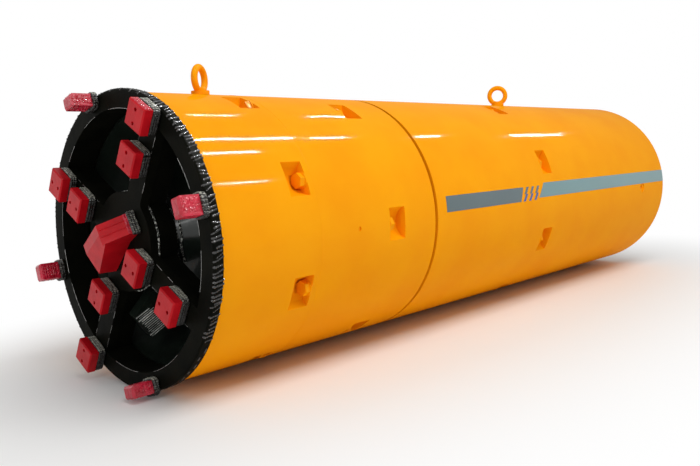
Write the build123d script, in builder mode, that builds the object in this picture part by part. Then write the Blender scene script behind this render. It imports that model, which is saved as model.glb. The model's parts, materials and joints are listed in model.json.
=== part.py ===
from build123d import *
import math
import os

os.makedirs("parts", exist_ok=True)

# A pipe-jacking tunnel boring machine lying as it parks.
# Frame: +X is the driving direction, +Y the machine's left, +Z up, and the floor is Z 0.
# A station is the distance behind the front edge of the shield skin, along the axis.
# An angle is measured round the axis, from the left side up over the top, in degrees.

# ---- driving dimensions, mm ----
SHIELD_R = 490.0            # outer radius of the shield skin
SKIN_T = 25.0               # thickness of the skin plate
OVERCUT = 10.0              # the cutting wheel bores this much wider than the skin, on radius
NOSE_REACH = 138.0          # tip of the centre bit ahead of the skin's front edge
SEAM_1 = 400.0              # flush bolted seam between crusher section and drive section
JOINT = 1024.0              # steering joint
SEAM_3 = 2000.0             # flush bolted seam between the two rear sections
TAIL = 3330.0               # rear end of the skin
JOINT_GAP = 18.0            # open gap between the skins at the steering joint
FREE = 6.0                  # least space round anything that turns
SEAT = 0.3                  # space left between welded or bolted pieces
RUN = 0.05                  # radial clearance of a pin or shaft in its bore

WHEEL_R = SHIELD_R + OVERCUT
AXIS_Z = WHEEL_R
BORE_R = SHIELD_R - SKIN_T
FRONT_X = (NOSE_REACH + TAIL) / 2 - NOSE_REACH


def x_at(station):
    """X of a station."""
    return FRONT_X - station


def across(station, angle=0.0):
    """Plane square to the axis: normal forward, x outward at the angle, y round the axis."""
    turn = math.radians(angle)
    outward = (0, math.cos(turn), math.sin(turn))
    return Plane(origin=(x_at(station), 0, AXIS_Z), x_dir=outward, z_dir=(1, 0, 0))


def along(angle=0.0):
    """Plane through the axis: x forward from the skin's front edge, y outward at the angle."""
    turn = math.radians(angle)
    round_axis = (0, -math.sin(turn), math.cos(turn))
    return Plane(origin=(x_at(0), 0, AXIS_Z), x_dir=(1, 0, 0), z_dir=round_axis)


def radial(station, angle, radius):
    """Plane touching a cylinder round the axis: normal outward, x forward."""
    turn = math.radians(angle)
    outward = (0, math.cos(turn), math.sin(turn))
    foot = (x_at(station), radius * outward[1], AXIS_Z + radius * outward[2])
    return Plane(origin=foot, x_dir=(1, 0, 0), z_dir=outward)


def save(builder, label):
    builder.part.label = label
    export_step(builder.part, f"parts/{label}.step")


# ---- bolt pockets: round-bottomed windows in the skin ----
POCKET_R = 62.0             # radius of the round bottom
POCKET_RISE = 14.0          # its centre lies this far outside the skin
POCKET_L = 86.0             # along the axis
POCKET_LIP = 26.0           # metal left between a pocket and its seam
DRIVE_POCKETS = 279.0       # front ends of the drive section's pockets ahead of the steering joint
TUB_WALL = 10.0
BOLT_AF = 46.0
BOLT_HEAD = 19.0
BOLT_RELIEF = 4.0           # space round a bolt head in the pocket's floor
WASHER_R = 28.0
WASHER_T = 5.0
BOLT_INSET = 25.0           # bolt axes in from the skin
BOLT_RADIUS = SHIELD_R - BOLT_INSET
POCKET_AXIS = SHIELD_R + POCKET_RISE

# Each ring: station of the pockets' front ends, angles, and which end wall the bolts sit on.
SEAM_ANGLES = [22.5 + 45 * i for i in range(8)]
DRIVE_ANGLES = [60 * i for i in range(6)]
RINGS = dict(
    seam_1=dict(front=SEAM_1 - POCKET_LIP - POCKET_L, angles=SEAM_ANGLES, wall="rear"),
    drive=dict(front=JOINT - DRIVE_POCKETS, angles=DRIVE_ANGLES, wall="front"),
    seam_3=dict(front=SEAM_3 - POCKET_LIP - POCKET_L, angles=SEAM_ANGLES, wall="front"),
)


def cut_windows(ring):
    """Cuts one ring's pockets, with the relief for each bolt head, out of the open part."""
    relief = BOLT_HEAD + WASHER_T + 2 * BOLT_RELIEF
    at_bolt = POCKET_L - relief / 2 if ring["wall"] == "rear" else relief / 2
    for angle in ring["angles"]:
        with Locations(across(ring["front"] + POCKET_L / 2, angle) * Pos(POCKET_AXIS, 0, 0)):
            Cylinder(POCKET_R, POCKET_L, mode=Mode.SUBTRACT)
        with Locations(across(ring["front"] + at_bolt, angle) * Pos(BOLT_RADIUS, 0, 0)):
            Cylinder(WASHER_R + BOLT_RELIEF, relief, mode=Mode.SUBTRACT)


def cut_tub_room(ring):
    """Cuts room for one ring's tubs out of the open part, with a seat all round."""
    for angle in ring["angles"]:
        with Locations(across(ring["front"] + POCKET_L / 2, angle) * Pos(POCKET_AXIS, 0, 0)):
            Cylinder(POCKET_R + TUB_WALL + SEAT, POCKET_L + 2 * TUB_WALL + 2 * SEAT, mode=Mode.SUBTRACT)


def skin(front, rear, ring=None, ports=()):
    """One skin section: a rolled tube with its pocket windows and round ports cut through."""
    with BuildPart() as tube:
        with BuildSketch(across(rear)):
            Circle(SHIELD_R)
            Circle(BORE_R, mode=Mode.SUBTRACT)
        extrude(amount=rear - front)
        if ring:
            cut_windows(ring)
        for port in ports:
            with BuildSketch(radial(port["station"], port["angle"], BORE_R - SKIN_T)):
                Circle(port["radius"])
            extrude(amount=3 * SKIN_T, mode=Mode.SUBTRACT)
    return tube


def tubs(ring):
    """Welded tubs behind the windows, shaped to the skin's bore."""
    with BuildPart() as made:
        for angle in ring["angles"]:
            with BuildSketch(across(ring["front"] + POCKET_L + TUB_WALL, angle)):
                with Locations((POCKET_AXIS, 0)):
                    Circle(POCKET_R + TUB_WALL)
                Circle(BORE_R - SEAT, mode=Mode.INTERSECT)
            extrude(amount=POCKET_L + 2 * TUB_WALL)
        cut_windows(ring)
    return made


def bolts(ring):
    """Hexagon bolt heads on their washers, lying along the axis on the pockets' end walls."""
    rear = ring["front"] + POCKET_L
    toward = 1 if ring["wall"] == "rear" else -1
    wall = rear - SEAT if ring["wall"] == "rear" else ring["front"] + SEAT
    with BuildPart() as made:
        for angle in ring["angles"]:
            with BuildSketch(across(wall, angle)):
                with Locations((BOLT_RADIUS, 0)):
                    Circle(WASHER_R)
            extrude(amount=toward * WASHER_T)
            with BuildSketch(across(wall - toward * WASHER_T, angle)):
                with Locations((BOLT_RADIUS, 0)):
                    RegularPolygon(BOLT_AF / 2, 6, major_radius=False)
            extrude(amount=toward * BOLT_HEAD)
    return made


# ---- shield skins ----
# Round ports in the skin: station, angle, radius.
GREASE_PORT_R = 8.0
GROUT_PORT_R = 28.0
GREASE_PORTS = 441.0        # ahead of the steering joint
GROUT_PORTS = 317.0         # ahead of the tail
DRIVE_PORTS = [dict(station=JOINT - GREASE_PORTS, angle=120 * i, radius=GREASE_PORT_R) for i in range(3)]
TAIL_PORTS = [dict(station=TAIL - GROUT_PORTS, angle=120 * i, radius=GROUT_PORT_R) for i in range(3)]

save(skin(0, SEAM_1 - SEAT / 2, RINGS["seam_1"]), "front_skin")
save(skin(SEAM_1 + SEAT / 2, JOINT - JOINT_GAP / 2, RINGS["drive"], DRIVE_PORTS), "drive_skin")
save(skin(JOINT + JOINT_GAP / 2, SEAM_3 - SEAT / 2, RINGS["seam_3"]), "rear_skin")
save(skin(SEAM_3 + SEAT / 2, TAIL, ports=TAIL_PORTS), "tail_skin")
for name, ring in RINGS.items():
    save(tubs(ring), f"pocket_tubs_{name}")
    save(bolts(ring), f"pocket_bolts_{name}")

PLUG_DEPTH = 5.0            # plugs sit this far below the skin
PLUG_SLOT = 8.0
with BuildPart() as plugs:
    for port in TAIL_PORTS:
        with BuildSketch(radial(port["station"], port["angle"], BORE_R)):
            Circle(port["radius"] - SEAT)
        extrude(amount=SKIN_T - PLUG_DEPTH)
        with BuildSketch(radial(port["station"], port["angle"], SHIELD_R - PLUG_DEPTH)):
            RegularPolygon(port["radius"] / 2, 6)
        extrude(amount=-PLUG_SLOT, mode=Mode.SUBTRACT)
save(plugs, "grout_port_plugs")
with BuildPart() as nipples:
    for port in DRIVE_PORTS:
        with BuildSketch(radial(port["station"], port["angle"], BORE_R)):
            Circle(port["radius"] - SEAT)
        extrude(amount=SKIN_T - PLUG_DEPTH)
save(nipples, "grease_port_plugs")

# ---- lifting eyes: forged collar eye bolts, M30 ----
EYE_OUT_R = 54.0
EYE_IN_R = 30.0
EYE_COLLAR_R = 32.5
EYE_COLLAR_H = 14.0
EYE_NECK_R = 22.0
EYE_NECK_IN = 2.0           # the neck stops this far below the ring's hole
EYE_TAPER = 8.0             # degrees
EYE_H = 109.0
FRONT_EYE_INSET = 98.0      # ahead of the first seam
REAR_EYE_INSET = 255.0      # behind the rear seam
# station, and the turn of the ring's flat side from facing sideways
EYES = dict(
    front_lifting_eye=dict(station=SEAM_1 - FRONT_EYE_INSET, turn=30.0),
    rear_lifting_eye=dict(station=SEAM_3 + REAR_EYE_INSET, turn=-58.0),
)
for label, eye_at in EYES.items():
    turn = math.radians(eye_at["turn"])
    flat = (math.sin(turn), -math.cos(turn), 0)
    foot_z = AXIS_Z + SHIELD_R + SEAT
    ring_z = foot_z + EYE_H - EYE_OUT_R
    with BuildPart() as eye:
        with BuildSketch(Plane.XY.offset(foot_z)):
            with Locations((x_at(eye_at["station"]), 0)):
                Circle(EYE_COLLAR_R)
        extrude(amount=EYE_COLLAR_H)
        with BuildSketch(Plane.XY.offset(foot_z + EYE_COLLAR_H)):
            with Locations((x_at(eye_at["station"]), 0)):
                Circle(EYE_NECK_R)
        extrude(amount=ring_z - EYE_IN_R - foot_z - EYE_COLLAR_H - EYE_NECK_IN, taper=EYE_TAPER)
        with Locations(Plane(origin=(x_at(eye_at["station"]), 0, ring_z), z_dir=flat)):
            Torus((EYE_OUT_R + EYE_IN_R) / 2, (EYE_OUT_R - EYE_IN_R) / 2)
    save(eye, label)

# ---- cutting wheel ----
RIM_FACE = 39.0             # the wheel's front face ahead of the skin's front edge
RIM_WALL = 28.0             # from the skin's bore in to the rim's inner face
RIM_IN_R = BORE_R - RIM_WALL
RIM_BEVEL = 5.0
SKIRT_REAR = 60.0           # rear ends of the rim's skirt and the spokes
SPOKE_ANGLE = 60.5           # angle of the first of the four spokes
SPOKE_W = 82.0              # front plates of the spokes
SPOKE_PLATE = 34.0
BOX_W = 70.0                # deep webs behind the plates
HUB_R = 166.0
HUB_ROUND = 22.0            # fillets where the spokes leave the hub plate
SPOKE_ANGLES = [SPOKE_ANGLE + 90 * i for i in range(4)]

with BuildPart() as rim:
    with BuildSketch(across(-FREE)):
        Circle(WHEEL_R)
        Circle(RIM_IN_R, mode=Mode.SUBTRACT)
    extrude(amount=RIM_FACE - FREE)
    front_edges = rim.edges().filter_by(GeomType.CIRCLE).group_by(Axis.X)[-1]
    chamfer(front_edges.sort_by(SortBy.RADIUS)[-1:], RIM_BEVEL)
    with BuildSketch(across(SKIRT_REAR)):
        Circle(BORE_R - 2 * FREE)
        Circle(RIM_IN_R, mode=Mode.SUBTRACT)
    extrude(amount=SKIRT_REAR + FREE)
save(rim, "wheel_rim")

# ---- crusher: a four-lobed cone on the wheel inside a narrowing ring ----
RING_FRONT = SKIRT_REAR + 2 * FREE
RING_REAR = 300.0
RING_LIP = 27.0             # thickness of the crusher ring at its front edge
RING_FOOT = 113.0           # and at its rear edge
RING_FRONT_R = BORE_R - RING_LIP
RING_REAR_R = BORE_R - RING_FOOT
CRUSH_GAP = 52.0            # between the lobes and the ring at the rear
CONE_NOSE = 2.0             # station of the cone's nose
CONE_NOSE_R = 100.0         # reach of the lobes there
CONE_NOSE_ROUND = 40.0
CONE_WIDE = 200.0           # station where the lobes reach their full radius
CONE_WIDE_R = RING_REAR_R - CRUSH_GAP
CONE_WIDE_ROUND = 110.0
CONE_INSET = 20.0           # its rear end ahead of the bulkhead
CONE_REAR = RING_REAR - CONE_INSET
SHAFT_R = 90.0


def lobes(reach, round_r):
    """A square with round corners, which reach the given radius midway between the spokes."""
    side = 2 * ((reach - round_r) / math.sqrt(2) + round_r)
    RectangleRounded(side, side, round_r)


def crusher_head(grow):
    """The lobed cone, grown by a seat all round."""
    with BuildPart() as head:
        with BuildSketch(across(CONE_NOSE - grow, SPOKE_ANGLE)):
            lobes(CONE_NOSE_R + grow, CONE_NOSE_ROUND)
        with BuildSketch(across(CONE_WIDE, SPOKE_ANGLE)):
            lobes(CONE_WIDE_R + grow, CONE_WIDE_ROUND)
        loft()
        extrude(head.faces().sort_by(Axis.X)[0], amount=CONE_REAR - CONE_WIDE + grow)
    return head


cone_room = crusher_head(2 * SEAT)
head = crusher_head(0)
with BuildPart() as cone:
    add(head.part)
    with BuildSketch(across(CONE_REAR)):
        Circle(SHAFT_R + SEAT)
    extrude(amount=CONE_REAR / 2, mode=Mode.SUBTRACT)
save(cone, "crusher_cone")

with BuildPart() as spokes:
    with BuildSketch(across(SPOKE_PLATE - RIM_FACE, SPOKE_ANGLE)) as front_plate:
        Circle(HUB_R)
        Rectangle(2 * RIM_IN_R, SPOKE_W)
        Rectangle(SPOKE_W, 2 * RIM_IN_R)
        fillet(front_plate.vertices().sort_by_distance((0, 0, 0))[:8], HUB_ROUND)
        Circle(RIM_IN_R - SEAT, mode=Mode.INTERSECT)
    extrude(amount=SPOKE_PLATE)
    with BuildSketch(across(SKIRT_REAR, SPOKE_ANGLE)):
        Circle(HUB_R)
        Rectangle(2 * RIM_IN_R, BOX_W)
        Rectangle(BOX_W, 2 * RIM_IN_R)
        Circle(RIM_IN_R - SEAT, mode=Mode.INTERSECT)
    extrude(amount=SKIRT_REAR + RIM_FACE - SPOKE_PLATE)
    add(cone_room.part, mode=Mode.SUBTRACT)
save(spokes, "wheel_spokes")

# ---- scraper bits: plates on welded pads, two screws each ----
BIT_FACE = 99.5             # cutting faces ahead of the skin's front edge
BIT_T = 30.0
BIT_RADIAL = 84.5
BIT_ROUND = 93.0
BIT_BEVEL = 4.0
SCREW_R = 6.5
SCREW_DEPTH = 12.0
SCREW_PITCH = 46.0
PAD_INSET = 3.0
TRACK = 32.0                # the bits cut side by side in tracks this far apart
TRACK_INSET = 30.0          # outermost track's middle in from the wheel's edge
OUTER_TRACK = WHEEL_R - TRACK_INSET
# number of the spoke, and how many tracks in from the outermost one
SCRAPERS = [
    dict(spoke=0, tracks=5.0), dict(spoke=0, tracks=0.5),
    dict(spoke=1, tracks=7.0), dict(spoke=1, tracks=2.5),
    dict(spoke=2, tracks=8.0), dict(spoke=2, tracks=0.0),
    dict(spoke=3, tracks=10.0), dict(spoke=3, tracks=3.5),
]
with BuildPart() as scrapers:
    for bit in SCRAPERS:
        with BuildSketch(across(BIT_T - BIT_FACE, SPOKE_ANGLES[bit["spoke"]])):
            with Locations((OUTER_TRACK - bit["tracks"] * TRACK, 0)):
                Rectangle(BIT_RADIAL, BIT_ROUND)
        extrude(amount=BIT_T)
    chamfer(scrapers.faces().sort_by(Axis.X)[-len(SCRAPERS):].edges(), BIT_BEVEL)
    for bit in SCRAPERS:
        middle = OUTER_TRACK - bit["tracks"] * TRACK
        with BuildSketch(across(-BIT_FACE, SPOKE_ANGLES[bit["spoke"]])):
            with Locations((middle - SCREW_PITCH / 2, 0), (middle + SCREW_PITCH / 2, 0)):
                Circle(SCREW_R)
        extrude(amount=-SCREW_DEPTH, mode=Mode.SUBTRACT)
save(scrapers, "scraper_bits")

with BuildPart() as pads:
    for bit in SCRAPERS:
        with BuildSketch(across(-RIM_FACE - SEAT, SPOKE_ANGLES[bit["spoke"]])):
            with Locations((OUTER_TRACK - bit["tracks"] * TRACK, 0)):
                Rectangle(BIT_RADIAL - 2 * PAD_INSET, BIT_ROUND - 2 * PAD_INSET)
        extrude(amount=BIT_FACE - BIT_T - RIM_FACE - 2 * SEAT)
save(pads, "scraper_holders")

# ---- gauge bits: blocks standing ahead of the rim, over its outer edge ----
GAUGE_ANGLES = [SPOKE_ANGLE - 45 + 90 * i for i in range(4)]
GAUGE_TIP = 133.0
GAUGE_ROOT = 58.0           # where the bit meets its pad, ahead of the skin's front edge
GAUGE_OVER = 3.0            # the bit stands out past the rim by this much
GAUGE_RADIAL = 42.0
GAUGE_ROUND = 60.0
GAUGE_BEVEL = 7.0
GAUGE_R = WHEEL_R + GAUGE_OVER - GAUGE_RADIAL / 2
with BuildPart() as gauges:
    for angle in GAUGE_ANGLES:
        with BuildSketch(across(-GAUGE_ROOT, angle)):
            with Locations((GAUGE_R, 0)):
                Rectangle(GAUGE_RADIAL, GAUGE_ROUND)
        extrude(amount=GAUGE_TIP - GAUGE_ROOT)
    chamfer(gauges.faces().sort_by(Axis.X)[-len(GAUGE_ANGLES):].edges(), GAUGE_BEVEL)
save(gauges, "gauge_bits")
with BuildPart() as gauge_pads:
    for angle in GAUGE_ANGLES:
        with BuildSketch(across(-RIM_FACE - SEAT, angle)):
            with Locations((GAUGE_R - PAD_INSET, 0)):
                Rectangle(GAUGE_RADIAL - PAD_INSET, GAUGE_ROUND)
        extrude(amount=GAUGE_ROOT - RIM_FACE - 2 * SEAT)
save(gauge_pads, "gauge_holders")

# ---- centre bit: one thick blade over the axis, highest beside the middle ----
# Lengths along the blade run from the axis toward NOSE_ANGLE, its widths square to them.
NOSE_ANGLE = 30.0
NOSE_PEAK = 40.0            # the highest point, from the axis
NOSE_ROOT_L = 115.0           # root end
NOSE_FREE_L = 104.0          # free end, on the other side of the axis
NOSE_ROOT = 58.0            # heights ahead of the skin's front edge, of the root end
NOSE_FREE = 122.0           # and of the free end
NOSE_UP = 50.0              # blade's straight side
NOSE_DOWN = 20.0            # its other side at the root
NOSE_FLARE = 58.0           # and at the free end
NOSE_RIDGE = 16.0           # the ridge lies this far toward the straight side
NOSE_FALL = 20.0            # the front falls by this much from the ridge to the flared side
with BuildPart() as centre_bit:
    with BuildSketch(along(NOSE_ANGLE)):
        with BuildLine():
            Polyline((RIM_FACE + SEAT, NOSE_ROOT_L), (NOSE_ROOT, NOSE_ROOT_L), (NOSE_REACH, NOSE_PEAK),
                     (NOSE_FREE, -NOSE_FREE_L), (RIM_FACE + SEAT, -NOSE_FREE_L), close=True)
        make_face()
    extrude(amount=NOSE_FLARE + NOSE_UP, both=True)
    with BuildSketch(across(-RIM_FACE, NOSE_ANGLE)):
        with BuildLine():
            Polyline((NOSE_ROOT_L, NOSE_UP), (-NOSE_FREE_L, NOSE_UP), (-NOSE_FREE_L, -NOSE_FLARE),
                     (NOSE_PEAK, -NOSE_DOWN), (NOSE_ROOT_L, -NOSE_DOWN), close=True)
        make_face()
    extrude(amount=NOSE_REACH, mode=Mode.INTERSECT)
    for height, reach in ((NOSE_REACH, NOSE_PEAK), (NOSE_FREE, -NOSE_FREE_L)):
        outward = Plane(across(-height, NOSE_ANGLE).location * Pos(reach, 0, 0) * Rot(0, 90, 0))
        with BuildSketch(outward):
            with BuildLine():
                Polyline((0, NOSE_RIDGE), (0, -NOSE_FLARE), (NOSE_FALL, -NOSE_FLARE), close=True)
            make_face()
    loft(mode=Mode.SUBTRACT)
save(centre_bit, "centre_bit")

# ---- crusher arms: two thick plates standing on the cone, with ribs on their leading sides ----
ARM_PAST = 17.5             # degrees past the spokes
ARM_ANGLES = [SPOKE_ANGLE + ARM_PAST + 180 * i for i in range(2)]
ARM_W = 40.0
ARM_OVER = 53.0             # their tops stand this far above the cone's widest radius
ARM_TOP = CONE_WIDE_R + ARM_OVER
ARM_FRONT = 2.0             # station of the leading edge's front end
ARM_EDGE_L = 70.0           # the edge slopes back over this length
ARM_RISE = 86.0             # and rises by this much
ARM_REAR = 170.0
ARM_BACK = 52.0             # the back corner stands this far below the top
ARM_TOE = SKIRT_REAR + FREE # the underside passes the hub here and runs into the cone
ARM_CLEAR = 20.0            # and clears the hub by this much
ARM_TOE_R = HUB_R + ARM_CLEAR
RIBS = 13
RIB_R = 4.5
RIB_L = 72.0
RIB_TURN = 30.5             # degrees between the ribs and the axis
with BuildPart() as arms:
    for angle in ARM_ANGLES:
        with BuildSketch(along(angle)):
            with BuildLine():
                Polyline((-ARM_FRONT, ARM_TOP - ARM_RISE), (-ARM_FRONT - ARM_EDGE_L, ARM_TOP),
                         (-ARM_REAR, ARM_TOP - ARM_BACK), (-ARM_REAR, ARM_TOE_R),
                         (-ARM_TOE, ARM_TOE_R), close=True)
            make_face()
        extrude(amount=ARM_W / 2, both=True)
        for rib in range(RIBS):
            share = (rib + 0.7) / RIBS
            edge = Pos(-ARM_FRONT - share * ARM_EDGE_L, ARM_TOP - ARM_RISE * (1 - share), ARM_W / 2)
            inward = Rot(0, 0, RIB_TURN) * Pos(-RIB_L / 2, 0, 0) * Rot(0, 90, 0)
            with Locations(along(angle).location * edge * inward):
                Cylinder(RIB_R, RIB_L)
    add(cone_room.part, mode=Mode.SUBTRACT)
save(arms, "crusher_arms")

BULKHEAD_T = 60.0
with BuildPart() as crusher_ring:
    with BuildSketch(across(RING_REAR)):
        Circle(BORE_R - SEAT)
    extrude(amount=RING_REAR - RING_FRONT)
    with BuildSketch(across(RING_FRONT)):
        Circle(RING_FRONT_R)
    with BuildSketch(across(RING_REAR)):
        Circle(RING_REAR_R)
    loft(mode=Mode.SUBTRACT)
    cut_tub_room(RINGS["seam_1"])
save(crusher_ring, "crusher_ring")

with BuildPart() as bulkhead:
    with BuildSketch(across(RING_REAR + SEAT + BULKHEAD_T)):
        Circle(BORE_R - SEAT)
        Circle(SHAFT_R + RUN, mode=Mode.SUBTRACT)
    extrude(amount=BULKHEAD_T)
    cut_tub_room(RINGS["seam_1"])
save(bulkhead, "front_bulkhead")

SHAFT_PAST = 60.0           # the shaft stands this far behind the bulkhead
SHAFT_REAR = RING_REAR + BULKHEAD_T + SHAFT_PAST
with BuildPart() as shaft:
    with BuildSketch(across(SHAFT_REAR)):
        Circle(SHAFT_R)
    extrude(amount=SHAFT_REAR - CONE_REAR / 2 - SEAT)
save(shaft, "main_shaft")

# ---- main drive: motor and gearbox as one block ----
DRIVE_R = 260.0
DRIVE_DROP = 60.0
DRIVE_INSET = 124.0         # its rear end ahead of the steering joint
DRIVE_REAR = JOINT - DRIVE_INSET
with BuildPart() as drive:
    with BuildSketch(across(DRIVE_REAR)):
        with Locations((0, -DRIVE_DROP)):
            Circle(DRIVE_R)
    extrude(amount=DRIVE_REAR - RING_REAR - BULKHEAD_T - 2 * SEAT)
    with BuildSketch(across(SHAFT_REAR + FREE)):
        Circle(SHAFT_R + FREE)
    extrude(amount=SHAFT_REAR, mode=Mode.SUBTRACT)
save(drive, "main_drive")

# ---- steering joint: a gimbal ring between lugs of the two shields ----
LUG_T = 17.0
LUG_OUT = BORE_R - 2 * FREE
LUG_IN = LUG_OUT - LUG_T
GIMBAL_T = 58.0
GIMBAL_OUT = LUG_IN - FREE
GIMBAL_IN = GIMBAL_OUT - GIMBAL_T
GIMBAL_HALF = 36.0
PIN_R = 30.0
PIN_INSET = 5.0             # the pins stop this far short of the ring's inner face
PIN_IN = GIMBAL_IN + PIN_INSET
LUG_W = 120.0
LUG_PAST = 48.0
LUG_ROOT = 110.0
YAW_ANGLES = [90, 270]
PITCH_ANGLES = [0, 180]
with BuildPart() as gimbal:
    with BuildSketch(across(JOINT + GIMBAL_HALF)):
        Circle(GIMBAL_OUT)
        Circle(GIMBAL_IN, mode=Mode.SUBTRACT)
    extrude(amount=2 * GIMBAL_HALF)
    for angle in YAW_ANGLES + PITCH_ANGLES:
        with BuildSketch(radial(JOINT, angle, PIN_IN - SEAT)):
            Circle(PIN_R + SEAT)
        extrude(amount=GIMBAL_OUT, mode=Mode.SUBTRACT)
save(gimbal, "gimbal_ring")
with BuildPart() as pins:
    for angle in YAW_ANGLES + PITCH_ANGLES:
        with BuildSketch(radial(JOINT, angle, PIN_IN)):
            Circle(PIN_R)
        extrude(amount=LUG_OUT - PIN_IN)
save(pins, "gimbal_pins")


def lugs(toward, angles):
    """Two lugs welded in one skin's bore, reaching past the joint over the gimbal pins.

    toward is 1 where the skin lies ahead of the joint and -1 where it lies behind.
    """
    root = JOINT - toward * LUG_ROOT
    end = JOINT + toward * LUG_PAST
    lip = JOINT - toward * (JOINT_GAP / 2 + FREE)
    with BuildPart() as pair:
        with BuildSketch(across(max(root, end))):
            for angle in angles:
                with Locations(Rot(0, 0, angle) * Pos(BORE_R - SKIN_T, 0)):
                    Rectangle(4 * SKIN_T, LUG_W)
            Circle(BORE_R - SEAT, mode=Mode.INTERSECT)
            Circle(LUG_IN, mode=Mode.SUBTRACT)
        extrude(amount=LUG_ROOT + LUG_PAST)
        with BuildSketch(across(max(lip, end))):
            Circle(BORE_R)
            Circle(LUG_OUT, mode=Mode.SUBTRACT)
        extrude(amount=abs(end - lip), mode=Mode.SUBTRACT)
        for angle in angles:
            with BuildSketch(radial(JOINT, angle, GIMBAL_OUT)):
                Circle(PIN_R + RUN)
            extrude(amount=BORE_R - GIMBAL_OUT, mode=Mode.SUBTRACT)
    return pair


save(lugs(1, YAW_ANGLES), "yaw_lugs")
save(lugs(-1, PITCH_ANGLES), "pitch_lugs")

# ---- rear end: tail ring for the first jacking pipe, and the bulkhead ----
SOCKET = 260.0              # depth of the open tail
WALL_T = 30.0
WALL = TAIL - SOCKET        # station of the bulkhead's front face
WALL_REAR = WALL + WALL_T
TAIL_RING_L = 60.0
TAIL_RING_T = 30.0
TAIL_RING_BEVEL = 12.0
PORT_DOWN = 165.0           # laser port's centre in from the skin's bore
PORT_UP = BORE_R - PORT_DOWN
GLASS_R = 58.0
GLASS_T = 12.0
PORT_FRAME_R = 84.0
PORT_FRAME_T = 22.0
PORT_LIP = 8.0              # glass held all round
SERVICE_H = 70.0            # service plate, close under the laser port
SERVICE_GAP = 11.0
SERVICE_UP = PORT_UP - PORT_FRAME_R - SERVICE_GAP - SERVICE_H / 2
HATCH_H = 330.0             # hatch, under the service plate
HATCH_GAP = 30.0
HATCH_UP = SERVICE_UP - SERVICE_H / 2 - HATCH_GAP - HATCH_H / 2
with BuildPart() as rear_wall:
    with BuildSketch(across(WALL_REAR)):
        Circle(BORE_R - SEAT)
        with Locations((0, PORT_UP)):
            Circle(GLASS_R - PORT_LIP, mode=Mode.SUBTRACT)
    extrude(amount=WALL_T)
save(rear_wall, "rear_bulkhead")

with BuildPart() as tail_ring:
    with BuildSketch(across(TAIL)):
        Circle(BORE_R - SEAT)
        Circle(BORE_R - TAIL_RING_T, mode=Mode.SUBTRACT)
    extrude(amount=TAIL_RING_L)
    chamfer(tail_ring.edges().group_by(Axis.X)[0].sort_by(SortBy.RADIUS)[:1], TAIL_RING_BEVEL)
save(tail_ring, "tail_ring")

with BuildPart() as port_frame:
    with BuildSketch(across(WALL_REAR + SEAT + PORT_FRAME_T)):
        with Locations((0, PORT_UP)):
            Circle(PORT_FRAME_R)
            Circle(GLASS_R - PORT_LIP, mode=Mode.SUBTRACT)
    extrude(amount=PORT_FRAME_T)
    with BuildSketch(across(WALL_REAR + 2 * SEAT + GLASS_T)):
        with Locations((0, PORT_UP)):
            Circle(GLASS_R + SEAT)
    extrude(amount=GLASS_T + 2 * SEAT, mode=Mode.SUBTRACT)
save(port_frame, "laser_port_frame")
with BuildPart() as port_glass:
    with BuildSketch(across(WALL_REAR + SEAT + GLASS_T)):
        with Locations((0, PORT_UP)):
            Circle(GLASS_R)
    extrude(amount=GLASS_T)
save(port_glass, "laser_port_glass")

HATCH_W = 220.0
HATCH_T = 16.0
HATCH_ROUND = 40.0
with BuildPart() as hatch:
    with BuildSketch(across(WALL_REAR + SEAT + HATCH_T)):
        with Locations((0, HATCH_UP)):
            RectangleRounded(HATCH_W, HATCH_H, HATCH_ROUND)
    extrude(amount=HATCH_T)
save(hatch, "hatch_cover")

# ---- slurry lines: grooved pipe ends on sleeve flanges ----
PIPE_R = 57.0
PIPE_WALL = 6.0
PIPE_REACH = 140.0
SLEEVE_R = 88.0
PIPE_GAP = 32.0             # between hatch and sleeve flange
PIPE_SIDE = HATCH_W / 2 + PIPE_GAP + SLEEVE_R
PIPE_RISE = 20.0            # above the hatch's middle
PIPE_UP = HATCH_UP + PIPE_RISE
SLEEVE_T = 18.0
GROOVE_IN = 16.0
GROOVE_W = 9.0
GROOVE_DEPTH = 2.0
for label, side in dict(slurry_feed_pipe=-PIPE_SIDE, slurry_return_pipe=PIPE_SIDE).items():
    with BuildPart() as pipe:
        with BuildSketch(across(WALL_REAR + PIPE_REACH)):
            with Locations((side, PIPE_UP)):
                Circle(PIPE_R)
        extrude(amount=PIPE_REACH - SEAT)
        with BuildSketch(across(WALL_REAR + SLEEVE_T)):
            with Locations((side, PIPE_UP)):
                Circle(SLEEVE_R)
        extrude(amount=SLEEVE_T - SEAT)
        with BuildSketch(across(WALL_REAR + PIPE_REACH - GROOVE_IN)):
            with Locations((side, PIPE_UP)):
                Circle(PIPE_R + GROOVE_DEPTH)
                Circle(PIPE_R - GROOVE_DEPTH, mode=Mode.SUBTRACT)
        extrude(amount=GROOVE_W, mode=Mode.SUBTRACT)
        with BuildSketch(across(WALL_REAR + PIPE_REACH)):
            with Locations((side, PIPE_UP)):
                Circle(PIPE_R - PIPE_WALL)
        extrude(amount=PIPE_REACH, mode=Mode.SUBTRACT)
    save(pipe, label)

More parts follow.
